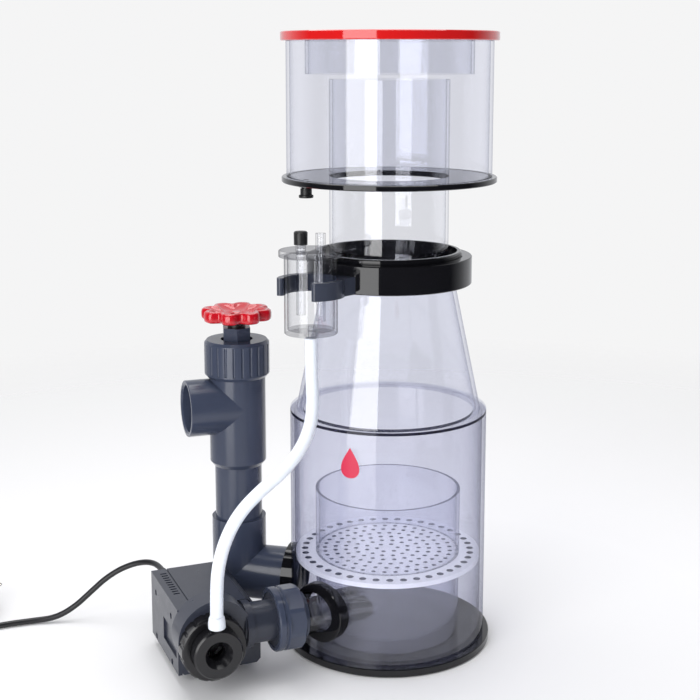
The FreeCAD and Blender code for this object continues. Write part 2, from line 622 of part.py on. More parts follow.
intake_blank = turned("intake_blank", [
    (13.5, 0), (S.intake_radius - 1.5, 0), (S.intake_radius, 1.5), (S.intake_radius, 16.3),
    (28.0, 16.3), (28.0, S.volute_front), (S.intake_radius - 0.2, S.volute_front),
    (S.intake_radius - 0.2, 31), (14, 31), (14, 20), (S.intake_bore, 16), (S.intake_bore, 7)], PUMP)
AIR_BOSS = PUMP.multiply(frame(Vector(0, 0, 7), Vector(1, 0, 0), Vector(0, 1, 0)))
air_boss = rod("air_boss", 6.4, 20, S.air_boss_top, AIR_BOSS)
hub = rod("intake_hub", 5.5, 22, 30, PUMP)
spokes = [brick("intake_spoke_1", (-15, -1.2, 22.5), (15, 1.2, 29), PUMP),
          brick("intake_spoke_2", (-1.2, -15, 22.5), (1.2, 15, 29), PUMP)]
keep(without("intake_cover", fused("intake_solid", [intake_blank, air_boss, hub] + spokes), [
    rod("air_bore", 2.5, 5, 28, AIR_BOSS), rod("front_bush_seat", 4.0, 24, 31, PUMP)]), "intake_cover")

lock_ring = turned("lock_ring", [
    (S.intake_radius + 0.4, S.lock_ring_front), (S.lock_ring_radius - 1.5, S.lock_ring_front),
    (S.lock_ring_radius, S.lock_ring_front + 1.5), (S.lock_ring_radius, S.volute_front),
    (28.3, S.volute_front), (28.3, 16.0), (S.intake_radius + 0.4, 16.0)], PUMP)
pocket_ring(lock_ring, "ring_grips", 2.2, S.lock_ring_radius + 1.2, 16, S.lock_ring_front - 1,
            S.volute_front - S.lock_ring_front + 2, start_angle=11.0)
keep(lock_ring, "lock_ring")

# Volute: a round pressure housing, set off towards its tangential outlet, which ends in the
# union thread.
OUTLET = frame(PUMP.multVec(Vector(0, S.outlet_rise.value, S.outlet_set_back.value)), TO_FRONT, TO_BODY)
thread_end = S.union_gap - 39
VOLUTE = PUMP.multiply(Placement(Vector(-S.volute_offset.value, S.volute_offset.value, 0), Rotation()))
pipe_start = S.lock_ring_radius + 2
volute_solid = fused("volute_solid", [
    rod("volute_drum", S.volute_radius, S.volute_front, S.volute_back, VOLUTE),
    rod("volute_pipe", S.tail_radius, pipe_start, thread_end, OUTLET),
    rod("volute_step", S.tail_radius + 3, 36, 43, OUTLET),
    rod("volute_thread", 26.4, S.union_gap - S.union_nut_far + 0.5, thread_end, OUTLET),
])
keep(without("volute_housing", volute_solid, [
    rod("volute_cavity", S.volute_radius - 3.5, 31, S.volute_back - 3, VOLUTE),
    rod("volute_front_hole", S.intake_radius - 0.2, 27, 32, PUMP),
    rod("volute_back_hole", S.well_bore + 1, 50, 55, PUMP),
    rod("volute_outlet_bore", S.tail_bore, pipe_start - 1, thread_end + 1, OUTLET),
    ring_of("union_seal_groove", 23.6, 20.4, thread_end - 2.5, thread_end + 1, OUTLET),
]), "volute_housing")

# Needle-wheel impeller: a hub and a disc that carries two rings of pins.
impeller_disc = turned("impeller_disc", [
    (S.shaft_radius + 0.05, 33.5), (8.5, 33.5), (8.5, 44), (S.impeller_radius, 44),
    (S.impeller_radius, 47), (8.5, 47), (8.5, 57), (S.shaft_radius + 0.05, 57)], PUMP)
pins = []
for pin_ring, pin_count in ((23.9, 18), (18.5, 12), (13.0, 8)):
    for pin_index in range(pin_count):
        spot = flat_direction(360.0 * pin_index / pin_count) * pin_ring
        pins.append(rod(f"pin_{int(pin_ring)}_{pin_index}", 1.3, 34.5, 45,
                        PUMP.multiply(Placement(spot, Rotation()))))
keep(fused("impeller", [impeller_disc] + pins), "impeller")

keep(ring_of("rotor_magnet", S.magnet_radius, S.shaft_radius + 0.05, 57, 122, PUMP), "rotor_magnet")
keep(rod("rotor_shaft", S.shaft_radius, 25, 129, PUMP), "rotor_shaft")
keep(grouped("shaft_bushes", [
    ring_of("front_bush", 4.0, S.shaft_radius, 24.0, 31.0, PUMP),
    ring_of("rear_bush", 6.0, S.shaft_radius, 123.5, 129.0, PUMP)]), "shaft_bushes")

# ----------------------------------------------------------------------------------- pump motor

motor_outline = [
    (S.motor_left, S.motor_low + 2), (S.motor_left, S.motor_high),
    (S.motor_right + 14, S.motor_high), (S.motor_right, S.motor_high - 14),
    (S.motor_right, S.motor_low + 4), (S.motor_right + 4, S.motor_low), (S.motor_left - 2, S.motor_low)]
motor_blank = raised("motor_blank", motor_outline, S.motor_front, S.motor_back, PUMP)
motor_cavity = brick("motor_cavity",
                     (S.motor_right + S.motor_wall + 2, S.motor_low + S.motor_wall, S.motor_front + 18),
                     (S.motor_left + 1, S.motor_high - S.motor_wall - 9, S.motor_back - S.motor_wall), PUMP)
motor_shell = without("motor_shell", motor_blank, [motor_cavity])
motor_well = rod("motor_well", S.well_radius, S.motor_front, S.well_back, PUMP)
rib_tools = []
for rib_index in range(10):
    start = 92.0 + 6.0 * rib_index
    rib_tools.append(brick(f"rib_gap_{rib_index}", (13, S.motor_high - 1.2, start),
                           (19.5, S.motor_high + 1, start + 2.6), PUMP))
rib_tools.append(brick("top_groove", (9.5, S.motor_high - 1.0, S.motor_front - 1),
                       (11, S.motor_high + 1, S.motor_back + 1), PUMP))
GLAND = PUMP.multiply(Placement(Vector(8, 15, S.motor_back.value), Rotation()))
keep(without("motor_housing", fused("motor_solid", [motor_shell, motor_well]), rib_tools + [
    rod("well_hole", S.well_bore, S.motor_front - 1, 123.5, PUMP),
    rod("rear_bush_seat", 6.0, 123, 129, PUMP),
    rod("outlet_relief", S.tail_radius + 3.4, pipe_start - 0.4, 80, OUTLET),
    rod("gland_hole", 5.0, -6, 1, GLAND),
]), "motor_housing")

plate_low, plate_high = S.motor_low, S.motor_high
side_blank = brick("side_plate_blank", (S.motor_left, plate_low, S.motor_front),
                   (S.motor_left + S.side_plate, plate_high, S.motor_back), PUMP)
SCREW_SPOTS = [(11.0, 80.0), (11.0, 141.0), (-36.0, 78.0), (-36.0, 141.0)]
screws = []
screw_holes = []
for number, (height, back) in enumerate(SCREW_SPOTS):
    spot = Vector(S.motor_left.value, height, back)
    place = PUMP.multiply(frame(spot, Vector(0, 0, 1), Vector(1, 0, 0)))
    screw_holes.append(rod(f"screw_hole_{number}", 3.2, 0.8, 5, place))
    shank = rod(f"screw_head_{number}", 3.1, 0.8, 2.8, place)
    slot = brick(f"screw_slot_{number}", (-4, -0.5, 2.0), (4, 0.5, 3.5), place)
    screws.append(without(f"screw_{number}", shank, [slot]))
keep(without("motor_side_plate", side_blank, screw_holes + [
    brick("side_recess", (S.motor_left + 1.6, -25, 60), (S.motor_left + 6, -2, 111), PUMP)]),
    "motor_side_plate")
keep(grouped("side_plate_screws", screws), "side_plate_screws")

core_blank = brick("core_blank", (-52, S.motor_low + S.motor_wall, 78), (20.5, 14.5, 118), PUMP)
coil_window = brick("coil_window", (-40, -14, 77), (-22, 6, 119), PUMP)
keep(without("stator_core", core_blank, [
    coil_window, rod("core_bore", S.well_radius + 0.3, 70, 120, PUMP)]), "stator_core")
keep(brick("stator_coil", (-39.5, -13.5, 73), (-22.5, 5.5, 124), PUMP), "stator_coil")

# ------------------------------------------------------------------------------- union and inlet

inlet_mouth = UNION_ORIGIN + TO_BODY * 1.5
inlet_out = Vector(inlet_mouth.x, inlet_mouth.y, 0)
INLET = frame(Vector(0, 0, UNION_ORIGIN.z), UP, inlet_out / inlet_out.Length)
inlet_disc = chamfered_disc("inlet_flange_blank", S.inlet_flange_radius, 0, 90, S.inlet_flange_out,
                            S.edge_break, INLET)
keep(without("inlet_flange", inlet_disc, [
    rod("inlet_flange_saddle", S.tube_radius, 0, 150), rod("inlet_flange_bore", S.tail_radius, -40, 40, UNION),
]), "inlet_flange")

# A clear pipe is glued through the body wall and into the socket of the union's tail.
socket_mouth = 20.5
socket_end = 29.0
pipe_blank = ring_of("inlet_pipe_blank", S.tail_radius, S.tail_bore, -34, socket_end, UNION)
keep(without("inlet_pipe", pipe_blank, [rod("pipe_end_cut", S.tube_radius - S.tube_wall - 4, 0, 150)]),
     "inlet_pipe")

socket_radius = S.tail_radius + 3
keep(turned("union_tail", [
    (S.tail_radius, socket_mouth), (socket_radius - 0.6, socket_mouth),
    (socket_radius, socket_mouth + 0.6), (socket_radius, 33), (26.3, 33), (26.3, 39), (S.tail_bore, 39),
    (S.tail_bore, socket_end), (S.tail_radius, socket_end)], UNION), "union_tail")

nut_ring = turned("union_nut_ring", [
    (socket_radius + 0.4, S.union_nut_near), (S.union_nut_radius - 2, S.union_nut_near),
    (S.union_nut_radius, S.union_nut_near + 2), (S.union_nut_radius, S.union_nut_far - 10),
    (S.union_nut_radius - 1.4, S.union_nut_far - 9), (S.union_nut_radius - 1.4, S.union_nut_far - 7),
    (S.union_nut_radius, S.union_nut_far - 6), (S.union_nut_radius, S.union_nut_far - 1.2),
    (S.union_nut_radius - 1.2, S.union_nut_far), (26.8, S.union_nut_far), (26.8, 32.6),
    (socket_radius + 0.4, 32.6)], UNION)
flats = []
for flat_index in range(8):
    turn = Placement(Vector(), Rotation(UP, 45.0 * flat_index + 10))
    flats.append(brick(f"nut_flat_{flat_index}", (S.union_nut_radius - 1.7, -20, S.union_nut_near - 1),
                       (S.union_nut_radius + 5, 20, S.union_nut_far - 11), UNION.multiply(turn)))
keep(without("union_nut", nut_ring, flats), "union_nut")

keep(torus("union_seal", 22.0, 1.15, 40.25, UNION), "union_seal")

# ----------------------------------------------------------------------------- hose and mains cord


def corded_path(points):
    """Straight runs joined by tangent arcs, each as large as its two runs allow."""
    edges = []
    radii = []
    start = points[0]
    for before, corner, after in zip(points, points[1:], points[2:]):
        back = before - corner
        ahead = after - corner
        turn = math.pi - back.getAngle(ahead)
        trim = 0.45 * min(back.Length, ahead.Length)
        radii.append(trim / math.tan(turn / 2))
        arc_start = corner + back.normalize() * trim
        arc_end = corner + ahead.normalize() * trim
        middle = back + ahead
        rise = radii[-1] * (1 / math.cos(turn / 2) - 1)
        arc_middle = corner + middle.normalize() * rise
        edges.append(Part.LineSegment(start, arc_start).toShape())
        edges.append(Part.Arc(arc_start, arc_middle, arc_end).toShape())
        start = arc_end
    edges.append(Part.LineSegment(start, points[-1]).toShape())
    return Part.Wire(edges), radii


def cord_tube(label, points, radius):
    """A round tube along a route, checked against section times length."""
    wire, radii = corded_path(points)
    first = wire.Edges[0]
    section = Part.Wire(Part.makeCircle(radius, points[0], first.tangentAt(first.FirstParameter)))
    solid = wire.makePipeShell([section], True, False)
    wanted = math.pi * radius ** 2 * wire.Length
    print(label, "length", round(wire.Length, 1), "radii", [round(value) for value in radii],
          "volume over section x length", round(solid.Volume / wanted, 4))
    item = doc.addObject("Part::Feature", label)
    item.Shape = solid
    return keep(item, label)


BOSS_TOP = AIR_BOSS.multVec(Vector(0, 0, S.air_boss_top.value))
HOSE_ROUTE = [
    SILENCER.Base + UP * hose_top.value,
    SILENCER.Base + UP * 305,
    Vector(-75, -92, 280), Vector(-77, -106, 256), Vector(-87, -119, 236),
    Vector(-103, -131, 219), Vector(-123, -140, 204), Vector(-142, -148, 186), Vector(-155, -154, 163),
    Vector(-162.5, -157.5, 137),
    BOSS_TOP + UP * 33,
    BOSS_TOP,
]
cord_tube("air_hose", HOSE_ROUTE, S.hose_radius.value)

gland_wide = S.mains_radius + 3.4
keep(turned("cord_gland", [
    (0, -5.5), (5.0, -5.5), (5.0, 0), (gland_wide, 0), (gland_wide, 4), (S.mains_radius + 2.2, 5),
    (S.mains_radius + 0.9, 24), (0, 24)], GLAND), "cord_gland")

MAINS_EXIT = GLAND.multVec(Vector(0, 0, 24))
MAINS_ROUTE = [
    MAINS_EXIT,
    MAINS_EXIT - TO_FRONT * 20 + UP * 0.4,
    Vector(-263, 33.5, 64.5), Vector(-285, 37, 57), Vector(-305, 36, 45), Vector(-322, 32, 30),
    Vector(-339, 27, 15), Vector(-359, 22, 4.6), Vector(-383, 18, 3.1), Vector(-407, 10, 3.1),
    Vector(-431, -2, 3.1), Vector(-455, -11, 3.1),
]
cord_tube("power_cord", MAINS_ROUTE, S.mains_radius.value)

# The rest of the lead is wound into a neat coil on the floor, with the plug lying on its turns.
COIL = Placement(Vector(-471, 22, 0), Rotation())
keep(ring_of("power_cord_coil", S.coil_mean_radius + S.coil_width / 2, S.coil_mean_radius - S.coil_width / 2,
             0, S.coil_height, COIL), "power_cord_coil")

# Two-pin plug: flat eight-sided body with a tapered tail, lying on the far side of the coil.
PLUG_REST = Vector(COIL.Base.x + 1, COIL.Base.y + 31, S.coil_height.value + 7)
PLUG = frame(PLUG_REST, Vector(0, 0, 1), Vector(1, 0, 0))
plug_flank = 13.0
plug_body = raised("plug_body", [
    (-7, -plug_flank + 3), (-4, -plug_flank), (4, -plug_flank), (7, -plug_flank + 3),
    (7, plug_flank - 3), (4, plug_flank), (-4, plug_flank), (-7, plug_flank - 3)], 0, 24, PLUG)
plug_tail = turned("plug_tail", [(0, -16), (S.mains_radius + 0.9, -16), (6.6, 1), (0, 1)], PLUG)
keep(fused("mains_plug", [plug_body, plug_tail]), "mains_plug")
plug_pin_places = [PLUG.multiply(Placement(Vector(0, side * 9.3, 0), Rotation())) for side in (-1, 1)]
keep(grouped("plug_pins", [
    turned(f"plug_pin_{number}", [(0, 24), (2, 24), (2, 42), (1, 43), (0, 43)], place)
    for number, place in enumerate(plug_pin_places)]), "plug_pins")

# ------------------------------------------------------------------------------ check and export

doc.recompute()
for obj in doc.Objects:
    if "Invalid" in obj.State or "Error" in obj.State:
        raise RuntimeError(f"{obj.Name} ({obj.Label}) failed: {obj.State}")
for obj in subparts:
    if obj.Shape.isNull() or not obj.Shape.isValid() or not obj.Shape.Solids:
        raise RuntimeError(f"{obj.Label} has a bad shape")

os.makedirs("parts", exist_ok=True)
for obj in subparts:
    obj.Shape.exportStep(f"parts/{obj.Label}.step")
print(len(subparts), "sub-parts")
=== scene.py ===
import json
import math

import bmesh
import bpy
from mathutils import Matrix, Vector


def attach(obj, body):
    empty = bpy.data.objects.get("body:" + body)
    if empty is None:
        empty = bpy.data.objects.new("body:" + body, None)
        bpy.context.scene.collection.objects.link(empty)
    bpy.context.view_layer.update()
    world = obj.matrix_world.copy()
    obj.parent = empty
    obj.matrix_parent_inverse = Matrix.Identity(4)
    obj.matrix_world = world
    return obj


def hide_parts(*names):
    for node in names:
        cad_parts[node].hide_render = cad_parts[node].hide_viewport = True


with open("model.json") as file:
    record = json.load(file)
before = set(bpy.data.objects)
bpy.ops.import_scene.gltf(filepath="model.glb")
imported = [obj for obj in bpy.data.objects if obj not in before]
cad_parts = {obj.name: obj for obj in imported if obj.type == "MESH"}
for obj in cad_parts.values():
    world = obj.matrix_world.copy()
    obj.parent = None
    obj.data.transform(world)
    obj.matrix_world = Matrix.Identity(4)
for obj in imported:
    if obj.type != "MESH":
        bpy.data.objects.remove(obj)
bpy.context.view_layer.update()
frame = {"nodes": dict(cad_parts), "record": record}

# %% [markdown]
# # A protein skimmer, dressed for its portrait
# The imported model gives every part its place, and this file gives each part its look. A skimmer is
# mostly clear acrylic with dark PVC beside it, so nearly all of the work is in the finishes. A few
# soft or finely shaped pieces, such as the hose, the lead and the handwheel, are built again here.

MM = 0.001
nodes = frame["nodes"]

# %% [markdown]
# ## Camera
# The lens looks slightly down at the machine from the front. The frame is shifted rather than
# tilted further, which keeps the tall tubes from leaning apart.

# %% Camera
lens = bpy.data.cameras.new("portrait_lens")
lens.sensor_width = 36.0
lens.lens = 67.07
lens.shift_y = -0.12
lens.clip_start = 0.05
camera = bpy.data.objects.new("portrait_camera", lens)
camera.location = (-0.0395, -1.3144, 0.607)
camera.rotation_euler = (math.radians(80.83), 0.0, 0.0)
bpy.context.scene.collection.objects.link(camera)
bpy.context.scene.camera = camera
print("camera at", tuple(camera.location))

# %% [markdown]
# ## Hose and mains lead
# Both are one soft length with a round section. A curve with a bevel is the natural way: the points
# steer it and a quadratic NURBS rounds the corners. The mains lead leaves the back of the motor,
# drops to the floor, and is put away in a coil of three layers.

# %% A helper for flexible lengths


def soft_length(name, points, thickness):
    """A round NURBS curve that is steered by points given in metres. The points carry the radius, so
    that the box Blender draws round the curve is no wider than the curve."""
    curve = bpy.data.curves.new(name, "CURVE")
    curve.dimensions = "3D"
    curve.bevel_depth = 1.0
    curve.bevel_resolution = 6
    curve.resolution_u = 10
    curve.use_fill_caps = True
    spline = curve.splines.new("NURBS")
    spline.points.add(len(points) - 1)
    for control, point in zip(spline.points, points):
        control.co = (*point, 1.0)
        control.radius = thickness / 2
    spline.order_u = 3
    spline.use_endpoint_u = True
    piece = bpy.data.objects.new(name, curve)
    bpy.context.scene.collection.objects.link(piece)
    return piece


# %% Air hose
HOSE_WIDTH = 12.5 * MM
HOSE_POINTS = [
    (-0.077, -0.084, 0.338), (-0.077, -0.084, 0.305), (-0.075, -0.092, 0.280),
    (-0.077, -0.106, 0.256), (-0.087, -0.119, 0.236), (-0.103, -0.131, 0.219),
    (-0.123, -0.140, 0.204), (-0.142, -0.148, 0.186), (-0.155, -0.154, 0.163),
    (-0.1625, -0.1575, 0.137), (-0.16463, -0.15801, 0.1084), (-0.16463, -0.15801, 0.0754),
]
hose = soft_length("air_line", HOSE_POINTS, HOSE_WIDTH)
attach(hose, "skimmer_body")
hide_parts("air_hose")
print("hose points:", len(HOSE_POINTS))

# %% Mains lead with its coil
LEAD_WIDTH = 6.2 * MM
LEAD_POINTS = [
    (-0.23864, 0.00297, 0.0656), (-0.24616, 0.0215, 0.0660), (-0.263, 0.0335, 0.0645),
    (-0.285, 0.037, 0.057), (-0.305, 0.036, 0.045), (-0.322, 0.032, 0.030),
    (-0.339, 0.027, 0.015), (-0.359, 0.022, 0.0046), (-0.383, 0.018, 0.0031),
    (-0.407, 0.010, 0.0031), (-0.431, -0.002, 0.0031),
]
COIL_CENTRE = Vector((-0.471, 0.022, 0.0))
COIL_START = math.radians(-64)
TURN_POINTS = 18
TURN_COUNT = 7.32
# radius and height of each turn, in millimetres: outwards in, back out, and a last one and a half
TURNS = [(39.3, 3.1), (33.0, 3.1), (26.7, 3.1), (26.7, 9.3), (33.0, 9.3), (39.3, 9.3), (39.3, 15.5),
         (33.0, 15.5)]
# the share of a turn in which the lead steps over to the next one
STEP_SHARE = 0.2
# the spline cuts inside its points by this much
SPLINE_SHRINK = 0.988
coil_points = []
for count in range(int(TURN_COUNT * TURN_POINTS)):
    turn, along = divmod(count / TURN_POINTS, 1.0)
    radius, height = TURNS[int(turn)]
    if turn > 0 and along < STEP_SHARE:
        share = along / STEP_SHARE
        share = share * share * (3 - 2 * share)
        last_radius, last_height = TURNS[int(turn) - 1]
        radius = last_radius + (radius - last_radius) * share
        height = last_height + (height - last_height) * share
    angle = COIL_START - 2 * math.pi * count / TURN_POINTS
    reach = radius * MM / SPLINE_SHRINK
    coil_points.append(tuple(COIL_CENTRE + Vector((reach * math.cos(angle), reach * math.sin(angle),
                                                  height * MM))))
LEAD_END = [(-0.5045, 0.0345, 0.0195), (-0.499, 0.0452, 0.0235), (-0.4935, 0.0515, 0.0254),
            (-0.484, 0.053, 0.0256)]
lead = soft_length("mains_lead", LEAD_POINTS + coil_points + LEAD_END, LEAD_WIDTH)
print("coil points:", len(coil_points))

# %% [markdown]
# ## Plug
# A moulded plug is a soft-cornered block that narrows to its sleeve. It is lofted from rounded
# sections, because a bevelled box can't swell and narrow like moulded rubber.

# %% A helper that skins rings of points


def skin(name, rings, closed=False, capped=True):
    """A mesh over rings of equal point counts. closed joins the last ring to the first."""
    shape = bmesh.new()
    loops = [[shape.verts.new(point) for point in ring] for ring in rings]
    pairs = list(zip(loops, loops[1:]))
    if closed:
        pairs.append((loops[-1], loops[0]))
    for low, high in pairs:
        for index in range(len(low)):
            after = (index + 1) % len(low)
            shape.faces.new((low[index], low[after], high[after], high[index]))
    if capped and not closed:
        shape.faces.new(list(reversed(loops[0])))
        shape.faces.new(loops[-1])
    bmesh.ops.recalc_face_normals(shape, faces=shape.faces)
    mesh = bpy.data.meshes.new(name)
    shape.to_mesh(mesh)
    shape.free()
    for face in mesh.polygons:
        face.use_smooth = len(face.vertices) == 4
    piece = bpy.data.objects.new(name, mesh)
    bpy.context.scene.collection.objects.link(piece)
    return piece


# %% A helper for a circle of points


def circle(centre, radius, height, steps):
    """centre is in metres, and radius and height above it are in millimetres."""
    points = []
    for step in range(steps):
        angle = 2 * math.pi * step / steps
        points.append(centre + Vector((radius * math.cos(angle), radius * math.sin(angle), height)) * MM)
    return points


# %% Moulded plug
PLUG_CENTRE = Vector((-0.470, 0.053, 0.0256))
# distance along the plug, half width, half height and corner squareness, in millimetres
PLUG_SECTIONS = [
    (-15.8, 3.9, 3.9, 2.0), (-12.2, 4.3, 4.3, 2.0), (-12.0, 5.2, 5.2, 2.0), (-10.4, 5.2, 5.2, 2.0),
    (-10.2, 4.4, 4.4, 2.0), (-8.4, 4.6, 4.6, 2.0), (-8.2, 5.6, 5.6, 2.0), (-6.6, 5.6, 5.6, 2.0),
    (-6.4, 4.8, 4.8, 2.0), (-4.4, 5.1, 5.1, 2.1), (-4.2, 6.1, 6.1, 2.1), (-2.4, 6.3, 6.3, 2.2),
    (0.0, 7.5, 6.6, 2.6), (2.5, 10.6, 6.9, 3.2), (6.0, 12.6, 7.0, 4.0), (22.6, 13.0, 7.0, 5.0),
    (23.6, 12.7, 6.8, 5.0), (24.0, 12.0, 6.2, 5.0),
]
PLUG_STEPS = 48
plug_rings = []
for along, half_width, half_height, squareness in PLUG_SECTIONS:
    ring = []
    for step in range(PLUG_STEPS):
        angle = 2 * math.pi * step / PLUG_STEPS
        across = math.copysign(abs(math.cos(angle)) ** (2 / squareness), math.cos(angle)) * half_width
        upward = math.copysign(abs(math.sin(angle)) ** (2 / squareness), math.sin(angle)) * half_height
        ring.append(PLUG_CENTRE + Vector((along, across, upward)) * MM)
    plug_rings.append(ring)
plug = skin("moulded_plug", plug_rings)
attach(plug, "skimmer_body")
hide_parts("mains_plug")
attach(lead, "skimmer_body")
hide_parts("power_cord", "power_cord_coil")
print("plug faces:", len(plug.data.polygons))

# %% [markdown]
# ## Shader maths as plain expressions
# A finish is easier to read as `0.04 + 0.8 * glance ** 5` than as a list of Math nodes. `Value`
# wraps one socket and turns each operator into its node. `Tree` adds every other kind of node with
# one method. `Finish` is a tree for a material, built on a Principled shader.

# %% Value wraps a socket


class Value:
    """A number that varies over a surface. Each operator on it adds one Math node."""

    def __init__(self, tree, socket):
        self.tree = tree
        self.socket = socket

    def maths(self, operation, first, second):
        made = self.tree.node("Math", {"operation": operation}, {0: first, 1: second})
        return Value(self.tree, made.outputs[0])

    def __add__(self, other):
        return self.maths("ADD", self, other)

    def __sub__(self, other):
        return self.maths("SUBTRACT", self, other)

    def __rsub__(self, other):
        return self.maths("SUBTRACT", other, self)

    def __mul__(self, other):
        return self.maths("MULTIPLY", self, other)

    def __pow__(self, other):
        return self.maths("POWER", self, other)

    def above(self, edge):
        """1 where the value is over the edge, and 0 elsewhere."""
        return self.maths("GREATER_THAN", self, edge)

    __radd__ = __add__
    __rmul__ = __mul__


# %% Tree adds nodes


class Tree:
    """The nodes of a material or of the room."""

    def __init__(self, owner, output):
        owner.use_nodes = True
        self.links = owner.node_tree.links
        self.nodes = owner.node_tree.nodes
        self.nodes.clear()
        self.output = self.node(output)

    def node(self, kind, settings=None, inputs=None):
        """Any node: its settings are set first, then the values or links of its sockets."""
        made = self.nodes.new("ShaderNode" + kind)
        for key, value in (settings or {}).items():
            if key == "stops":
                self.set_stops(made.color_ramp.elements, value)
            else:
                setattr(made, key, value)
        for key, value in (inputs or {}).items():
            self.feed(made.inputs[key], value)
        return made

    def set_stops(self, elements, stops):
        """A ramp starts with two stops, so only the further ones are new."""
        for place, tone in stops[2:]:
            elements.new(place)
        for element, (place, tone) in zip(elements, sorted(stops)):
            element.position = place
            element.color = (tone, tone, tone, 1.0)

    def feed(self, socket, value):
        """Link a socket or a Value, or set a plain value."""
        if isinstance(value, Value):
            value = value.socket
        if isinstance(value, bpy.types.NodeSocket):
            self.links.new(value, socket)
        elif socket.type == "RGBA":
            socket.default_value = (*value, 1.0)
        else:
            socket.default_value = value

    def blend(self, mask, low, high):
        """The colour low where mask is 0, and high where it is 1."""
        return self.node("Mix", {"data_type": "RGBA"}, {0: mask, 6: low, 7: high}).outputs[2]

    def ramp(self, value, *stops):
        return Value(self, self.node("ValToRGB", {"stops": list(stops)}, {0: value}).outputs[0])

    def mix(self, share, first, second):
        """The shader first where share is 0, and second where it is 1."""
        return self.node("MixShader", {}, {0: share, 1: first, 2: second}).outputs[0]

    def show(self, shader):
        self.links.new(shader, self.output.inputs["Surface"])


# %% Finish is a material


class Finish(Tree):
    """One material, built on a Principled shader."""

    def __init__(self, name, **plain):
        self.material = bpy.data.materials.new(name)
        super().__init__(self.material, "OutputMaterial")
        self.principled = self.node("BsdfPrincipled")
        self.surface = self.principled.outputs[0]
        self.set(**plain)
        self.show(self.surface)

    def set(self, **inputs):
        for key, value in inputs.items():
            self.feed(self.principled.inputs[key.replace("_", " ")], value)

    def place(self, kind="Object"):
        """Where a surface point is on the piece, in metres, or which way it faces."""
        return self.node("TexCoord").outputs[kind]

    def part_of(self, kind, axis):
        """One of X, Y and Z of the place on the piece, or of the way it faces."""
        split = self.node("SeparateXYZ", {}, {0: self.place(kind)})
        return Value(self, split.outputs[axis])

    def clear(self, tint):
        """A shader that lets the view straight through, dyed by tint."""
        return self.node("BsdfTransparent", {}, {"Color": tint}).outputs[0]

    def noise(self, scale, detail=2.0, roughness=0.5, stretch=(1.0, 1.0, 1.0)):
        """Soft cloudy noise from 0 to 1, with scale in features per metre."""
        mapped = self.node("Mapping", {}, {"Vector": self.place(), "Scale": stretch})
        made = self.node("TexNoise", {}, {"Vector": mapped.outputs[0], "Scale": scale, "Detail": detail,
                                          "Roughness": roughness})
        return Value(self, made.outputs[0])

    def bump(self, height, depth=1.0):
        """Raise the surface by height times depth, in metres."""
        made = self.node("Bump", {}, {"Height": height, "Distance": depth})
        self.set(Normal=made.outputs[0])

    def glance(self):
        """0 where a surface faces the eye, and 1 where it is seen edge on."""
        return Value(self, self.node("LayerWeight", {}, {"Blend": 0.5}).outputs["Facing"])


print("finish tools are ready")

# %% [markdown]
# ## Room and light
# Clear plastic shows nothing of its own: it is drawn by what stands behind it and by what it
# mirrors. So the backdrop is a plain pale field, and one tall softbox at the front left draws the
# long white streak down every tube. The room in front is dark, as in a studio, which keeps the
# black acrylic black, while the pale backdrop still shows in faces seen edge on.

# %% A plain pale room
scene = bpy.context.scene
scene.view_settings.view_transform = "Standard"
scene.cycles.transparent_max_bounces = 48
scene.cycles.max_bounces = 10
scene.world = bpy.data.worlds.new("pale_room")
room = Tree(scene.world, "OutputWorld")
BACKDROP_TONE = (0.912, 0.912, 0.915)
FILL_TONE = (0.60, 0.60, 0.62)
rays = room.node("LightPath")
heading = room.node("SeparateXYZ", {}, {0: room.node("TexCoord").outputs["Generated"]})
depth_wise = Value(room, heading.outputs["Y"])
mirrored = room.blend(room.ramp(depth_wise * 0.5 + 0.5, (0.52, 0.0), (0.80, 1.0)), (0.035, 0.037, 0.045),
                      (0.80, 0.81, 0.84))
fill = room.node("Background", {}, {"Color": FILL_TONE})
mirror_view = room.node("Background", {}, {"Color": mirrored})
backdrop = room.node("Background", {}, {"Color": BACKDROP_TONE})
unseen = room.mix(rays.outputs["Is Glossy Ray"], fill.outputs[0], mirror_view.outputs[0])
room.show(room.mix(rays.outputs["Is Camera Ray"], unseen, backdrop.outputs[0]))
print("room tones:", BACKDROP_TONE, FILL_TONE)

# %% Softboxes


def softbox(name, place, aim, width, height, power):
    """A flat rectangular lamp at place that faces aim."""
    lamp = bpy.data.lights.new(name, "AREA")
    lamp.shape = "RECTANGLE"
    lamp.size, lamp.size_y = width, height
    lamp.energy = power
    holder = bpy.data.objects.new(name, lamp)
    holder.location = place
    holder.rotation_euler = (Vector(aim) - Vector(place)).to_track_quat("-Z", "Y").to_euler()
    holder.visible_camera = False
    scene.collection.objects.link(holder)


MIDDLE = (0.0, 0.0, 0.32)
softbox("tall_softbox", (-0.86, -1.40, 0.42), MIDDLE, 1.0, 2.0, 26.0)
softbox("overhead", (-0.1, 0.25, 1.75), MIDDLE, 1.4, 1.4, 20.0)
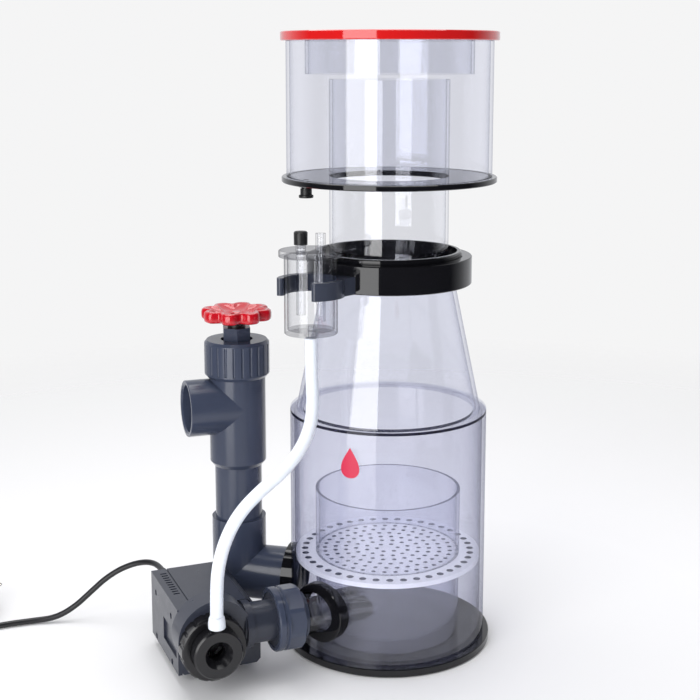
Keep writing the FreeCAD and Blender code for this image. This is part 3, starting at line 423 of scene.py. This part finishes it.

# %% [markdown]
# ## Clear acrylic
# A tube wall is two polished faces about a millimetre or more apart. Refracting light through a dozen such
# walls is slow and grainy, and a thin wall hardly bends it anyway. So each face passes the view straight
# through with a little tint, and mirrors more as it is seen edge on (the Fresnel rise). There it also
# takes a deeper, darker tint. That edge tint is partly real, because the eye looks through more plastic,
# and partly painted shade for the dark surroundings that a real wall bends into view at its outline.

# %% Clear acrylic


def acrylic(name, face_tint, edge_tint_and_shade, narrow=3.0, gleam=0.4, shine=0.045, haze=0.0, cut_tint=None):
    """narrow makes the deeper tint and painted edge shade hug the outline, gleam and shine are the mirror
    shares there and face on, and cut_tint is for the sawn ends of a tube."""
    finish = Finish(name, Base_Color=(1.0, 1.0, 1.0), Metallic=1.0)
    glance = finish.glance()
    finish.set(Roughness=0.015 + 0.03 * finish.noise(45.0, 3.0))
    # Towards the outline the view takes the edge tint: partly the deeper tint of a longer look through
    # plastic, partly painted shade for the dark surroundings a real wall refracts.
    through = finish.mix(glance ** narrow, finish.clear(face_tint), finish.clear(edge_tint_and_shade))
    if cut_tint:
        facing_up = finish.part_of("Normal", "Z")
        through = finish.mix((facing_up * facing_up).above(0.9), through, finish.clear(cut_tint))
    wall = finish.mix(shine + gleam * glance ** 5, through, finish.surface)
    if haze:
        dust = finish.node("BsdfDiffuse", {}, {"Color": (0.80, 0.82, 0.98)}).outputs[0]
        wall = finish.mix(haze * (0.7 + 0.6 * finish.noise(60.0, 4.0)), wall, dust)
    finish.show(wall)
    return finish.material


CUT_TINT = (0.28, 0.29, 0.35)
# The second tint of each finish is its edge tint, which is partly painted shade.
clear = acrylic("clear_acrylic", (0.965, 0.968, 0.990), (0.46, 0.47, 0.56), 8.0, cut_tint=CUT_TINT)
cone_clear = acrylic("cone_acrylic", (0.945, 0.950, 0.980), (0.40, 0.41, 0.52), 6.0)
pale = acrylic("thin_clear_acrylic", (0.975, 0.978, 0.992), (0.40, 0.41, 0.48), 9.0, cut_tint=CUT_TINT)
# Painted shade: the jar's edge tint is nearly black. These painted dark outlines stand for what its curved
# walls refract.
jar_clear = acrylic("jar_acrylic", (0.975, 0.977, 0.985), (0.02, 0.02, 0.04), 4.0, gleam=0.16, shine=0.03)
smoke = acrylic("smoke_acrylic", (0.900, 0.904, 0.945), (0.30, 0.31, 0.40), 3.6, gleam=0.3)
inner = acrylic("inner_tube_acrylic", (0.945, 0.948, 0.972), (0.40, 0.41, 0.49), 6.0, haze=0.03,
                cut_tint=CUT_TINT)
chamber = acrylic("chamber_acrylic", (0.945, 0.948, 0.975), (0.28, 0.29, 0.38), 5.0, haze=0.06,
                  cut_tint=CUT_TINT)
print("clear finishes:",
      [item.name for item in (clear, cone_clear, pale, jar_clear, smoke, inner, chamber)])

# %% [markdown]
# ## Ring on the body tube
# The ring that joins tube and cone is dark only round its outer edge. There the eye looks deep into the
# sheet, which tints it a little, and the near black is painted shade for the dark surroundings that the
# edge of a real sheet bends into view. A point is on that edge where its place and the way it faces point
# the same way.

# %% Ring edge
OUTER_EDGE = 0.05
ring_edge = Finish("ring_edge_acrylic", Base_Color=(1.0, 1.0, 1.0), Metallic=1.0)
ring_edge.set(Roughness=0.015 + 0.03 * ring_edge.noise(45.0, 3.0))
outward = (ring_edge.part_of("Object", "X") * ring_edge.part_of("Normal", "X")
           + ring_edge.part_of("Object", "Y") * ring_edge.part_of("Normal", "Y"))
# Painted shade: the outer edge of the ring is let through nearly black.
ring_view_with_edge_shade = ring_edge.mix(outward.above(OUTER_EDGE), ring_edge.clear((0.86, 0.865, 0.90)),
                          ring_edge.clear((0.03, 0.03, 0.06)))
ring_edge.show(ring_edge.mix(0.03 + 0.25 * ring_edge.glance() ** 5, ring_view_with_edge_shade, ring_edge.surface))
print("ring finish:", ring_edge.material.name)

# %% [markdown]
# ## Solid plastics
# Polished acrylic, moulded PVC and moulded housings differ in three things: how sharp their
# reflections are, how fine the texture left by the mould is, and how evenly they are coloured.
# One function takes those three, and each finish states its own.

# %% Solid plastics


def plastic(name, tone, second, gloss, grain=0.0, grain_scale=900.0, coat=0.0, wave=0.0):
    """tone drifts to second in soft clouds. gloss is the roughness, and grain and wave are heights."""
    finish = Finish(name, IOR=1.49, Coat_Weight=coat, Coat_Roughness=0.04)
    clouds = finish.noise(22.0, 4.0, 0.6)
    finish.set(Base_Color=finish.blend(clouds, tone, second))
    smudge = finish.noise(70.0, 5.0, 0.65)
    finish.set(Roughness=gloss * (0.75 + 0.5 * smudge))
    if grain or wave:
        texture = finish.noise(grain_scale, 2.0) * grain + finish.noise(14.0, 1.0) * wave
        finish.bump(texture)
    return finish.material


black_polish = plastic("black_acrylic", (0.004, 0.004, 0.005), (0.008, 0.008, 0.010), 0.05, wave=0.0001)
red_polish = plastic("red_acrylic", (0.62, 0.010, 0.010), (0.52, 0.008, 0.009), 0.08, coat=0.6)
red_moulded = plastic("red_plastic", (0.56, 0.006, 0.016), (0.44, 0.004, 0.012), 0.15, 0.00002, 700.0,
                      coat=0.6)
pvc = plastic("grey_pvc", (0.038, 0.047, 0.078), (0.050, 0.061, 0.097), 0.20, 0.00001, 1100.0, wave=0.0003)
slate = plastic("slate_plastic", (0.026, 0.030, 0.045), (0.034, 0.039, 0.058), 0.30, 0.00004, 1500.0)
clip_slate = plastic("clip_slate_plastic", (0.036, 0.042, 0.062), (0.044, 0.051, 0.075), 0.24,
                     0.00002, 1200.0)
black_moulded = plastic("black_plastic", (0.005, 0.005, 0.006), (0.010, 0.010, 0.012), 0.20,
                        0.00003, 1300.0)
rubber = plastic("black_rubber", (0.008, 0.008, 0.009), (0.015, 0.015, 0.016), 0.42, 0.00004, 1800.0)
jacket = plastic("cord_jacket", (0.008, 0.008, 0.010), (0.015, 0.015, 0.017), 0.34, 0.00003, 1500.0)
white_moulded = plastic("white_plastic", (0.78, 0.78, 0.80), (0.70, 0.70, 0.72), 0.35, 0.00002)
china = plastic("ceramic", (0.82, 0.81, 0.78), (0.74, 0.73, 0.70), 0.12)
ferrite = plastic("ferrite", (0.045, 0.045, 0.05), (0.07, 0.07, 0.075), 0.5, 0.00006)
print("finishes so far:", len(bpy.data.materials))

# %% [markdown]
# ## Hose
# The hose is milky silicone, so light soaks in and it has hardly a shadow of its own. A little
# subsurface scattering does that, with a shallow bump for the drawn skin.

# %% Hose silicone
silicone = Finish("white_hose", IOR=1.43, Subsurface_Weight=0.3, Subsurface_Scale=0.004,
                  Subsurface_Radius=(1.0, 0.9, 0.9))
silicone.set(Base_Color=silicone.blend(silicone.noise(30.0, 4.0), (0.78, 0.83, 0.93), (0.84, 0.88, 0.97)),
             Roughness=0.22 + 0.12 * silicone.noise(55.0, 3.0))
silicone.bump(silicone.noise(260.0, 2.0), 0.00012)
print("hose finish:", silicone.material.name)

# %% [markdown]
# ## Bubble plate
# The plate is a milky sheet that lets some of the view through. Its many small holes are real, but their
# walls would be as pale as the sheet, so a mask of the upright faces inside the rim paints them dark, as
# painted shade in the holes. The faint glow is painted light: it stands for light that the clear walls
# lead into the sheet.

# %% Bubble plate
PLATE_RIM = 0.0955
PAINTED_GLOW_TINT = (0.93, 0.94, 1.0)
# Painted light: the emission makes the sheet glow faintly, though it is no lamp.
frosted = Finish("frosted_plate", Emission_Strength=0.25)
across, along = frosted.part_of("Object", "X"), frosted.part_of("Object", "Y")
facing_up = frosted.part_of("Normal", "Z")
upright = 1 - (facing_up * facing_up).above(0.5)
hole_shade_mask = upright * (1 - (across * across + along * along).above(PLATE_RIM ** 2))
clouded = frosted.blend(frosted.noise(40.0, 4.0), (0.88, 0.89, 0.92), (0.99, 0.99, 1.0))
# Painted shade: the hole walls are coloured dark and lose the painted glow.
frosted.set(Base_Color=frosted.blend(hole_shade_mask, clouded, (0.10, 0.11, 0.15)),
            Emission_Color=frosted.blend(hole_shade_mask, PAINTED_GLOW_TINT, (0.02, 0.02, 0.04)),
            Roughness=0.16 + 0.14 * frosted.noise(80.0, 3.0))
frosted.show(frosted.mix(0.80 + 0.16 * frosted.noise(25.0, 2.0), frosted.clear((0.93, 0.94, 0.97)),
                         frosted.surface))
print("plate finish:", frosted.material.name)

# %% [markdown]
# ## Metals
# The few metal parts are small. Noise that is stretched along one axis gives them the grain that
# turning or drawing leaves.

# %% Metals


def metal(name, tone, second, roughness):
    """tone drifts to second along fine lines, which are a shallow bump as well."""
    finish = Finish(name, Metallic=1.0)
    lines = finish.noise(260.0, 4.0, 0.6, (1.0, 1.0, 14.0))
    finish.set(Base_Color=finish.blend(lines, tone, second), Roughness=roughness * (0.6 + 0.8 * lines))
    finish.bump(lines, 0.00002)
    return finish.material


steel = metal("stainless", (0.52, 0.52, 0.54), (0.66, 0.66, 0.68), 0.26)
laminated = metal("steel_core", (0.22, 0.22, 0.24), (0.34, 0.34, 0.36), 0.45)
winding = metal("copper", (0.62, 0.24, 0.10), (0.78, 0.36, 0.18), 0.35)
nickel = metal("nickel_pins", (0.70, 0.68, 0.62), (0.80, 0.78, 0.74), 0.18)
print("metal finishes:", [item.name for item in (steel, laminated, winding, nickel)])

# %% [markdown]
# ## Who wears what
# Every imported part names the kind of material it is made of, and that picks its finish. A few parts
# of the same kind differ in thickness or polish, so they are picked by name.

# %% Finishes by material and by part
BY_SLOT = {
    "black_acrylic": black_polish, "clear_acrylic": clear, "frosted_plate": frosted.material,
    "red_acrylic": red_polish, "red_plastic": red_moulded, "grey_pvc": pvc, "slate_plastic": slate,
    "black_plastic": black_moulded, "black_rubber": rubber, "white_hose": silicone.material,
    "cord_jacket": jacket, "stainless": steel, "ceramic": china, "ferrite": ferrite,
    "copper": winding, "steel_core": laminated, "white_plastic": white_moulded, "nickel_pins": nickel,
}
BY_NODE = {
    "body_tube": smoke, "body_top_ring": ring_edge.material, "cone": cone_clear,
    "diffuser_tube": inner, "chamber_tube": chamber, "neck_tube": pale, "lid_deflector": pale,
    "inlet_nozzle": pale, "inlet_pipe": jar_clear, "silencer_jar": jar_clear,
    "silencer_lid": jar_clear, "bleed_tube": jar_clear, "air_inlet_tube": jar_clear,
    "silencer_barb": jar_clear, "silencer_clip": clip_slate, "volute_housing": slate,
    "wheel_screw": red_moulded,
}
print("finishes:", len(BY_SLOT), "by slot and", len(BY_NODE), "by node")

# %% Dress every part


def wear(piece, material):
    """Give a piece one finish."""
    if not piece.material_slots:
        piece.data.materials.append(material)
    for slot in piece.material_slots:
        slot.material = material


for part in frame["record"]["subparts"]:
    node = part["node"]
    wear(nodes[node], BY_NODE.get(node, BY_SLOT[part["material_slot"]]))
wear(hose, silicone.material)
wear(lead, jacket)
wear(plug, black_moulded)

# %% [markdown]
# ## Handwheel
# The wheel has eight lobes round a dished disc. Its section is a list of radius and height, and
# each ring of the skin is that section pulled in where a finger valley is. The rim moves most and
# the hub not at all.

# %% Handwheel
WHEEL_CENTRE = Vector((-0.160, 0.042, 0.0))
LOBES = 8
VALLEY_START = math.radians(14)
VALLEY_DEPTH = 8.0
WHEEL_STEPS = 160
# radius, height and how much the valleys pull the ring in
WHEEL_SECTION = [
    (3.3, 327.0, 0.0), (8.0, 327.0, 0.0), (8.6, 327.6, 0.0), (9.4, 330.0, 0.0), (13.0, 331.4, 0.0),
    (22.0, 331.8, 0.25), (31.0, 331.0, 0.7), (35.2, 331.0, 1.0), (37.0, 332.4, 1.0), (37.6, 335.0, 1.0),
    (37.6, 339.0, 1.0), (37.0, 341.6, 1.0), (35.2, 342.9, 1.0), (32.6, 342.8, 0.95), (29.0, 341.2, 0.8),
    (23.0, 338.9, 0.35), (15.0, 337.4, 0.0), (11.5, 337.2, 0.0), (10.5, 336.5, 0.0), (3.3, 336.5, 0.0),
]
wheel_rings = []
for radius, height, pull in WHEEL_SECTION:
    ring = []
    for step in range(WHEEL_STEPS):
        angle = 2 * math.pi * step / WHEEL_STEPS
        valley = (0.5 + 0.5 * math.cos(LOBES * (angle - VALLEY_START))) ** 2
        reach = radius - pull * VALLEY_DEPTH * valley
        ring.append(WHEEL_CENTRE + Vector((reach * math.cos(angle), reach * math.sin(angle), height)) * MM)
    wheel_rings.append(ring)
wheel = skin("lobed_handwheel", wheel_rings, closed=True)
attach(wheel, "valve_wheel")
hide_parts("valve_handwheel")
wear(wheel, red_moulded)
print("handwheel faces:", len(wheel.data.polygons))

# %% [markdown]
# ## Hose cuff
# The hose ends in a slightly flared cuff that is pushed over the nipple on the intake knob.

# %% Hose cuff
CUFF_FOOT = Vector((-0.16463, -0.15801, 0.0754))
CUFF_SECTION = [(6.26, 0.2), (8.0, 0.2), (8.3, 0.8), (8.2, 6.0), (7.4, 10.5), (6.6, 12.0), (6.26, 12.0)]
CUFF_STEPS = 64
cuff_rings = [circle(CUFF_FOOT, radius, height, CUFF_STEPS) for radius, height in CUFF_SECTION]
cuff = skin("hose_cuff", cuff_rings, closed=True)
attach(cuff, "skimmer_body")
wear(cuff, silicone.material)
print("cuff faces:", len(cuff.data.polygons))

# %% [markdown]
# ## Printed mark
# The tube carries a small red print at the front. Here it is a plain water drop, cut as a thin
# sheet that follows the curve of the tube just off its face.

# %% Water drop print
DROP_MIDDLE = math.atan2(-93.6, -39.5)
DROP_HEIGHT = 216.0
DROP_RADIUS = 101.75
DROP_SIZE = 15.5
# how full the drop is, and how long its tip is drawn out
DROP_FULLNESS = 0.86
DROP_TAPER = 1.3
DROP_ROWS = 24
DROP_COLUMNS = 12
drop_mesh = bmesh.new()
drop_rows = []
for row in range(DROP_ROWS + 1):
    turn = math.pi * row / DROP_ROWS
    height = DROP_HEIGHT + DROP_SIZE * math.cos(turn)
    half = DROP_FULLNESS * DROP_SIZE * math.sin(turn) * math.sin(turn / 2) ** DROP_TAPER
    drop_rows.append([])
    for column in range(DROP_COLUMNS + 1):
        angle = DROP_MIDDLE + half * (2 * column / DROP_COLUMNS - 1) / DROP_RADIUS
        spot = Vector((DROP_RADIUS * math.cos(angle), DROP_RADIUS * math.sin(angle), height)) * MM
        drop_rows[-1].append(drop_mesh.verts.new(spot))
for high, low in zip(drop_rows, drop_rows[1:]):
    for column in range(DROP_COLUMNS):
        drop_mesh.faces.new((high[column], low[column], low[column + 1], high[column + 1]))
bmesh.ops.remove_doubles(drop_mesh, verts=drop_mesh.verts, dist=0.00001)
for face in drop_mesh.faces:
    face.smooth = True
drop_data = bpy.data.meshes.new("water_drop_print")
drop_mesh.to_mesh(drop_data)
drop_mesh.free()
drop = bpy.data.objects.new("water_drop_print", drop_data)
scene.collection.objects.link(drop)
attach(drop, "skimmer_body")
wear(drop, plastic("print_red", (0.60, 0.006, 0.055), (0.52, 0.005, 0.045), 0.30))
print("drop faces:", len(drop.data.polygons))

# %% [markdown]
# ## Floor
# The floor is a pale disc whose edge fades away, so that it has no horizon.

# %% Floor
FLOOR_REACH = 2.4
FLOOR_LEVEL = -0.6
FLOOR_HOLE = 2.0
floor_rings = [circle(Vector(), radius, FLOOR_LEVEL, 96) for radius in (FLOOR_HOLE, FLOOR_REACH / MM)]
floor = skin("pale_floor", floor_rings, capped=False)
pale_floor = Finish("pale_floor", Base_Color=(0.86, 0.86, 0.865), Roughness=0.85, Specular_IOR_Level=0.1)
reach = Value(pale_floor, pale_floor.node("VectorMath", {"operation": "LENGTH"},
                                          {0: pale_floor.place()}).outputs["Value"])
fade = pale_floor.ramp(reach * (1 / FLOOR_REACH), (0.16, 1.0), (0.62, 0.0))
pale_floor.show(pale_floor.mix(fade, pale_floor.clear((1.0, 1.0, 1.0)), pale_floor.surface))
wear(floor, pale_floor.material)
print("floor reach:", FLOOR_REACH)
